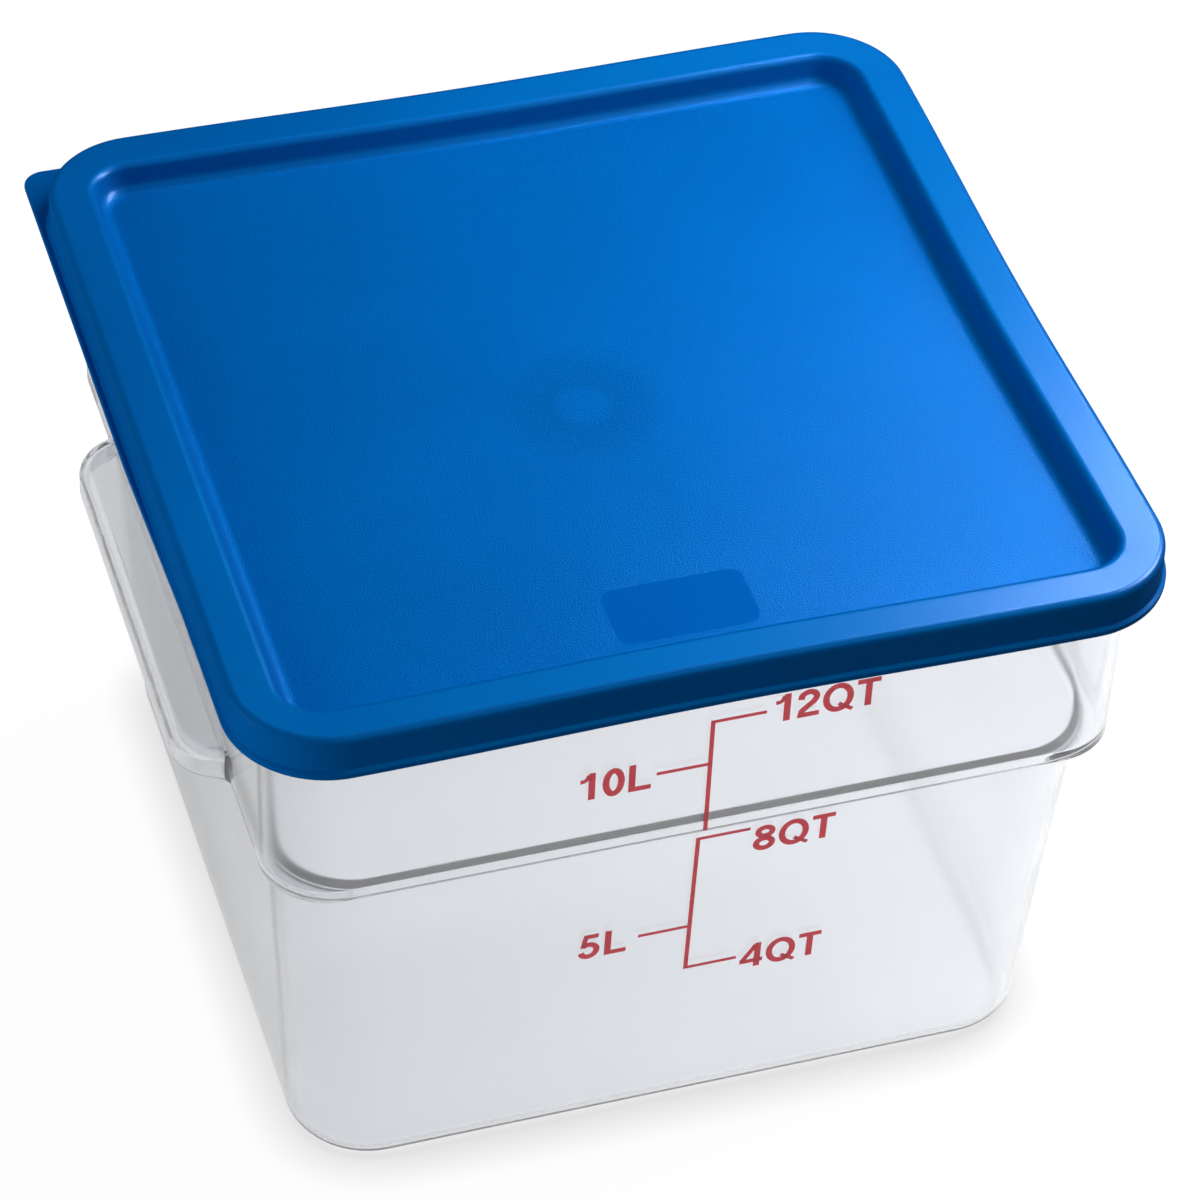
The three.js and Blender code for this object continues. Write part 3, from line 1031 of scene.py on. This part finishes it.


# Pale floor: a flat grid with a little glow, less of it close to the base, which is a painted
# contact shadow. Through the clear pieces it is brighter on the right: painted light that stands
# in for light from the right.
def layFloor(receivers):
    s = lightShape
    steps = s["floorSteps"]
    line = np.linspace(-s["floorReach"], s["floorReach"], steps + 1)
    x, y = np.meshgrid(line, line)
    points = np.stack([x, y, np.full_like(x, -s["floorDrop"])], 2).reshape(-1, 3)
    r, c = np.meshgrid(np.arange(steps), np.arange(steps), indexing="ij")
    near = (r * (steps + 1) + c).ravel()
    far = near + steps + 1
    floor = makeObject("studio_floor", points, np.stack([near, near + 1, far + 1, far], 1))
    finish, nodes, links = newFinish("pale floor")
    shader = nodes["Principled BSDF"]
    shader.inputs["Base Color"].default_value = (s["floorShade"],) * 3 + (1,)
    shader.inputs["Roughness"].default_value = 0.9
    shader.inputs["Specular IOR Level"].default_value = 0.1
    shader.inputs["Emission Color"].default_value = white + (1,)
    # Painted contact shadow: the glow drops where ambient occlusion finds the base close by.
    contact = nodes.new("ShaderNodeAmbientOcclusion")
    contact.inputs["Distance"].default_value = s["paintedShadowReach"] * mm
    contact.samples = 12
    ramp = nodes.new("ShaderNodeValToRGB")
    ramp.color_ramp.elements.new(0.5)
    for stop, (reach, glow) in zip(ramp.color_ramp.elements, s["floorGlowWithPaintedShadow"]):
        stop.position = reach
        stop.color = (glow, glow, glow, 1)
    # Painted light: rays that aren't the camera's see the glow grow towards the right.
    place = nodes.new("ShaderNodeTexCoord")
    slant = nodes.new("ShaderNodeVectorMath")
    slant.operation = "DOT_PRODUCT"
    slant.inputs[1].default_value = s["paintedLightSlant"]
    spread = nodes.new("ShaderNodeMapRange")
    spread.inputs["From Min"].default_value = s["paintedLightLeft"][0] * mm
    spread.inputs["From Max"].default_value = s["paintedLightRight"][0] * mm
    spread.inputs["To Min"].default_value = s["paintedLightLeft"][1]
    spread.inputs["To Max"].default_value = s["paintedLightRight"][1]
    ray = nodes.new("ShaderNodeLightPath")
    choose = nodes.new("ShaderNodeMix")
    choose.inputs["B"].default_value = 1
    glow = nodes.new("ShaderNodeMath")
    glow.operation = "MULTIPLY"
    links.new(contact.outputs["AO"], ramp.inputs["Fac"])
    links.new(place.outputs["Object"], slant.inputs[0])
    links.new(slant.outputs["Value"], spread.inputs["Value"])
    links.new(ray.outputs["Is Camera Ray"], choose.inputs["Factor"])
    links.new(spread.outputs["Result"], choose.inputs["A"])
    links.new(ramp.outputs["Color"], glow.inputs[0])
    links.new(choose.outputs["Result"], glow.inputs[1])
    links.new(glow.outputs["Value"], shader.inputs["Emission Strength"])
    floor.data.materials.append(finish)
    floor.visible_diffuse = False
    glowFor(floor, receivers)
    return floor


# White tent: a sphere round the studio, darker on the left, and brighter for the plastic's haze.
def raiseTent(receivers):
    s = lightShape
    radius = s["tentRadius"] * mm
    middle = (0, 0, 0)
    bpy.ops.mesh.primitive_uv_sphere_add(segments=48, ring_count=24, radius=radius, location=middle)
    tent = bpy.context.object
    tent.name = "studio_tent"
    finish, nodes, links = newFinish("white tent")
    shader = nodes["Principled BSDF"]
    shader.inputs["Base Color"].default_value = (0, 0, 0, 1)
    shader.inputs["Emission Color"].default_value = white + (1,)
    place = nodes.new("ShaderNodeTexCoord")
    split = nodes.new("ShaderNodeSeparateXYZ")
    spread = nodes.new("ShaderNodeMapRange")
    spread.inputs["From Min"].default_value = -radius
    spread.inputs["From Max"].default_value = radius
    spread.inputs["To Min"].default_value = s["tentLeft"]
    spread.inputs["To Max"].default_value = s["tentRight"]
    ray = nodes.new("ShaderNodeLightPath")
    haze = nodes.new("ShaderNodeMix")
    haze.inputs["A"].default_value = 1
    haze.inputs["B"].default_value = s["tentHaze"]
    glow = nodes.new("ShaderNodeMath")
    glow.operation = "MULTIPLY"
    links.new(place.outputs["Object"], split.inputs["Vector"])
    links.new(split.outputs["X"], spread.inputs["Value"])
    links.new(ray.outputs["Is Diffuse Ray"], haze.inputs["Factor"])
    links.new(spread.outputs["Result"], glow.inputs[0])
    links.new(haze.outputs["Result"], glow.inputs[1])
    links.new(glow.outputs["Value"], shader.inputs["Emission Strength"])
    finish.cycles.emission_sampling = "NONE"
    tent.data.materials.append(finish)
    tent.visible_shadow = False
    glowFor(tent, receivers)


# Gives a finished piece its material and body, and hides the nodes that it stands for.
def dress(obj, body, slot, finish, *nodes):
    obj.data.materials.clear()
    obj.data.materials.append(finish)
    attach(obj, body)
    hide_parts(*nodes)
    print(obj.name, len(obj.data.polygons), "faces")


# Panel faces look up and lie below the rim. Those at the pad's depth, inside its width and near
# the front, are the pad's.
def partFinishes(lid):
    s = padShape
    lid.data.materials.append(bluePolyethylene("panel"))
    lid.data.materials.append(bluePolyethylene("pad"))
    faces = lid.data.polygons
    centre = np.empty(len(faces) * 3, np.float32)
    faces.foreach_get("center", centre)
    normal = np.empty(len(faces) * 3, np.float32)
    faces.foreach_get("normal", normal)
    x, y, z = centre.reshape(-1, 3).T / mm
    level = z - panelTop
    panel = (normal[2::3] > 0.9) & (level < 1)
    pad = panel & (abs(x - s["offset"]) < s["width"] / 2) & (y < s["frontFaces"])
    pad &= abs(level + s["depth"]) < s["levelPlay"]
    faces.foreach_set("material_index", panel.astype(np.int32) + pad)


clearPieces = bpy.data.collections.new("clear pieces")
litPieces = bpy.data.collections.new("lit pieces")
placeCamera()
lightStudio(litPieces)
litPieces.objects.link(layFloor(clearPieces))
raiseTent(clearPieces)
print("camera, light and floor")

shell = containerShell()
for side in (-1, 1):
    combine(shell, grip(side), "UNION")
flattenShading(shell)
clearPieces.objects.link(shell)
dress(shell, "container", "clear_polycarbonate", clearPolycarbonate(), "container_body")

lid = lidShell()
litPieces.objects.link(lid)
flattenShading(lid)
dress(lid, "lid", "blue_polyethylene", bluePolyethylene("rim"), "lid")
partFinishes(lid)

inkFinish = redInk()
marks = printShape["marks"]
wallFoot = bodyShape["stepHeight"] + bodyShape["stepEdge"]
upperPrint = printedScale("scale_print_upper", marks[:2], marks[0]["height"], wallFoot)
clearPieces.objects.link(upperPrint)
dress(upperPrint, "container", "red_ink", inkFinish, "scale_upper_bracket")
lowerPrint = printedScale("scale_print_lower", marks[2:], marks[2]["height"], marks[4]["height"])
clearPieces.objects.link(lowerPrint)
dress(lowerPrint, "container", "red_ink", inkFinish, "scale_lower_bracket")

bpy.context.scene.view_settings.view_transform = "Standard"
rays = bpy.context.scene.cycles
rays.max_bounces = 48
rays.transmission_bounces = 32
rays.glossy_bounces = 32
rays.caustics_reflective = False
rays.caustics_refractive = False
